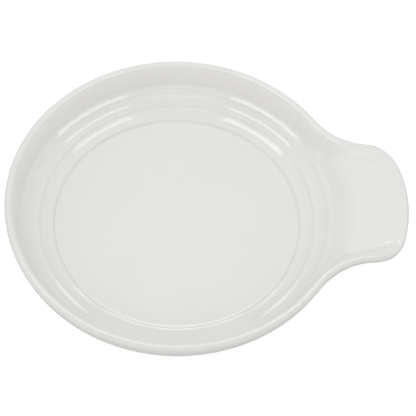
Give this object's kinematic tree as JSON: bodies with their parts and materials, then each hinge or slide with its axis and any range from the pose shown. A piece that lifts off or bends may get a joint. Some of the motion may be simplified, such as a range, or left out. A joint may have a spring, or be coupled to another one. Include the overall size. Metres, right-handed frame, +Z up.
{
  "type": "spoon rest",
  "caption": "Round shallow glazed stoneware dish with stepped rings inside and a raised side trough, standing on a foot ring, that holds a cooking spoon on a worktop.",
  "frame": {"origin": "centre of the foot ring, on the plane that it stands on", "axes": "+Z up along the dish's axis, +X from the dish to the spoon trough"},
  "size_m": [0.1529, 0.13, 0.0236],
  "materials": {
    "fired_stoneware": "bare fired clay, matt, seen only on the foot ring",
    "white_glaze": "glossy white tin glaze"
  },
  "bodies": {
    "root": {"stoneware_body": "fired_stoneware", "glaze_coat": "white_glaze", "base_glaze": "white_glaze"}
  },
  "joints": []
}
